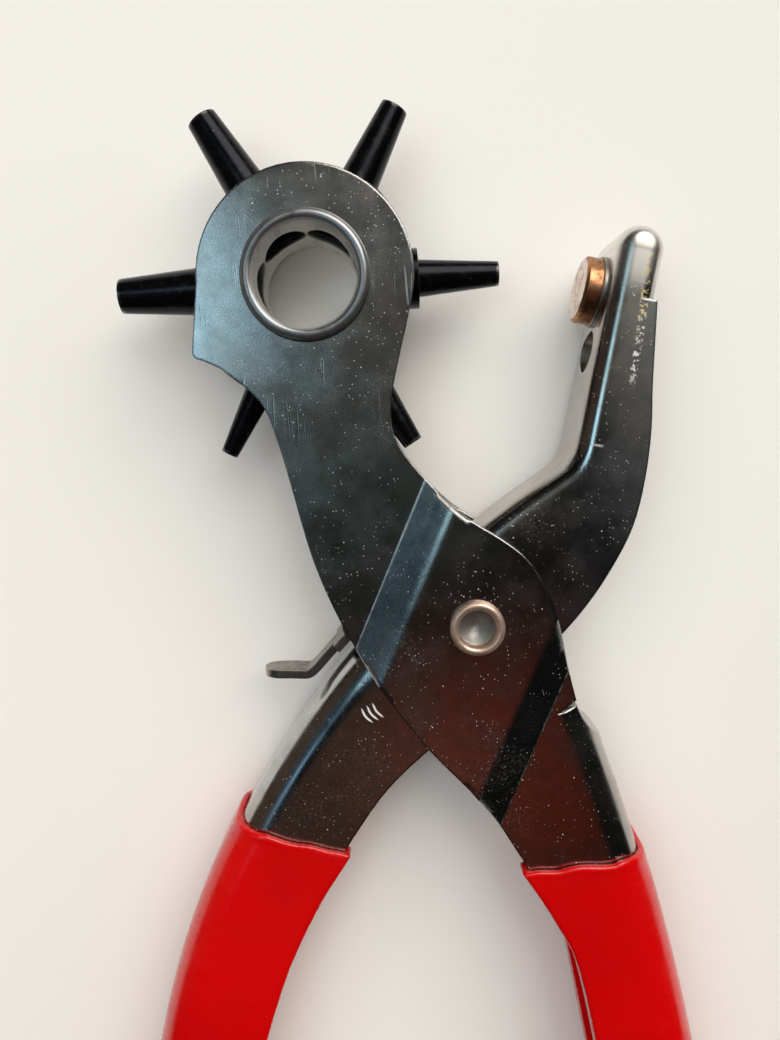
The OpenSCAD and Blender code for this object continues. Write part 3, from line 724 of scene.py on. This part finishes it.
def sky():
    """Bright below the horizon, nearly black above it, with coloured windows for the metal to mirror.

    The camera itself sees a pale backdrop instead.
    """
    world = bpy.data.worlds.new("studio")
    bpy.context.scene.world = world
    world.use_nodes = True
    tree = world.node_tree
    tree.nodes.clear()
    out = tree.nodes.new("ShaderNodeOutputWorld")
    light = tree.nodes.new("ShaderNodeBackground")
    tree.links.new(light.outputs[0], out.inputs[0])
    toward = tree.nodes.new("ShaderNodeTexCoord").outputs["Generated"]
    split = tree.nodes.new("ShaderNodeSeparateXYZ")
    tree.links.new(toward, split.inputs[0])
    rise = tree.nodes.new("ShaderNodeMapRange")
    rise.interpolation_type = "SMOOTHSTEP"
    tree.links.new(split.outputs["Z"], rise.inputs["Value"])
    rise.inputs["From Min"].default_value = -0.40
    rise.inputs["From Max"].default_value = 0.02
    total = tree.nodes.new("ShaderNodeMix")
    total.data_type = "RGBA"
    tree.links.new(rise.outputs["Result"], total.inputs["Factor"])
    total.inputs["A"].default_value = (*SKY_BELOW, 1)
    total.inputs["B"].default_value = (*SKY_ABOVE, 1)
    colour = total.outputs["Result"]
    for direction, rim, core, glow in WINDOWS:
        near = tree.nodes.new("ShaderNodeVectorMath")
        near.operation = "DOT_PRODUCT"
        tree.links.new(toward, near.inputs[0])
        near.inputs[1].default_value = Vector(direction).normalized()
        soft = tree.nodes.new("ShaderNodeMapRange")
        soft.interpolation_type = "SMOOTHSTEP"
        tree.links.new(near.outputs["Value"], soft.inputs["Value"])
        soft.inputs["From Min"].default_value = rim
        soft.inputs["From Max"].default_value = core
        add = tree.nodes.new("ShaderNodeMix")
        add.data_type = "RGBA"
        add.blend_type = "ADD"
        add.clamp_factor = True
        tree.links.new(soft.outputs["Result"], add.inputs["Factor"])
        tree.links.new(colour, add.inputs["A"])
        add.inputs["B"].default_value = (*glow, 1)
        colour = add.outputs["Result"]
    backdrop = tree.nodes.new("ShaderNodeMix")
    backdrop.data_type = "RGBA"
    tree.links.new(tree.nodes.new("ShaderNodeLightPath").outputs["Is Camera Ray"], backdrop.inputs["Factor"])
    tree.links.new(colour, backdrop.inputs["A"])
    backdrop.inputs["B"].default_value = (*BACKDROP, 1)
    tree.links.new(backdrop.outputs["Result"], light.inputs["Color"])


def photo_camera():
    """The photo's view: close above the tool, looking almost straight down."""
    lens = bpy.data.cameras.new("camera")
    lens.lens = 27
    lens.sensor_width = 36
    lens.clip_start = 0.005
    camera = bpy.data.objects.new("camera", lens)
    right = Vector((0.99811, -0.06070, 0.00719))
    up = Vector((0.06112, 0.99188, -0.11129))
    back = right.cross(up)
    turn = Matrix((right, up, back)).transposed()
    place = Vector((-0.01185, 0.02921, 0.13175))
    camera.matrix_world = Matrix.Translation(place) @ turn.to_4x4()
    bpy.context.scene.collection.objects.link(camera)
    bpy.context.scene.camera = camera


# ---------------------------------------------------------------- build

smooth = smooth_shading()
tubes = [name for name in NODES if name.startswith("punch_tube")]
dress(["punch_lever"], plated_steel("punch_steel", crease_highlight, soft_bend), smooth)
dress(["anvil_lever"], plated_steel("anvil_steel", jaw_marks_and_highlights), smooth)
dress(["pivot_rivet"], rivet_metal(), smooth)
wound_spring(plain_steel("spring_steel", SPRING_STEEL, DULL_STEEL, 0.24))
dress(["turret_drum"], black_drum(), smooth)
dress(["turret_axle"], axle_metal(), smooth)
washers = ["front_turret_washer", "rear_turret_washer"]
dress(washers, plain_steel("washer_steel", DULL_STEEL, BROWN_STEEL), smooth)
dress(tubes, black_tube(), smooth)
dress(["anvil_pad"], anvil_copper(), smooth)
dress(["anvil_washer"], plain_steel("pad_washer_steel", BROWN_STEEL, DARK_METAL_AND_RECESS_SHADE, 0.40), smooth)
dress(["lock_lever"], plain_steel("lock_steel", BROWN_STEEL, LOCK_DARK, 0.30, turn=math.pi / 2), smooth)
dress(["lock_pin"], plain_steel("pin_steel", PIN_STEEL, DARK_METAL_AND_RECESS_SHADE, 0.35), smooth)

vinyl = red_vinyl()
dipped_grip("punch_grip", "punch_side", (0.0, -1.0, 0.0), vinyl)
dipped_grip("anvil_grip", "anvil_side", (-math.sin(OPEN_ANGLE), -math.cos(OPEN_ANGLE), 0.0), vinyl)

studio()
photo_camera()
bpy.context.scene.view_settings.view_transform = "Standard"
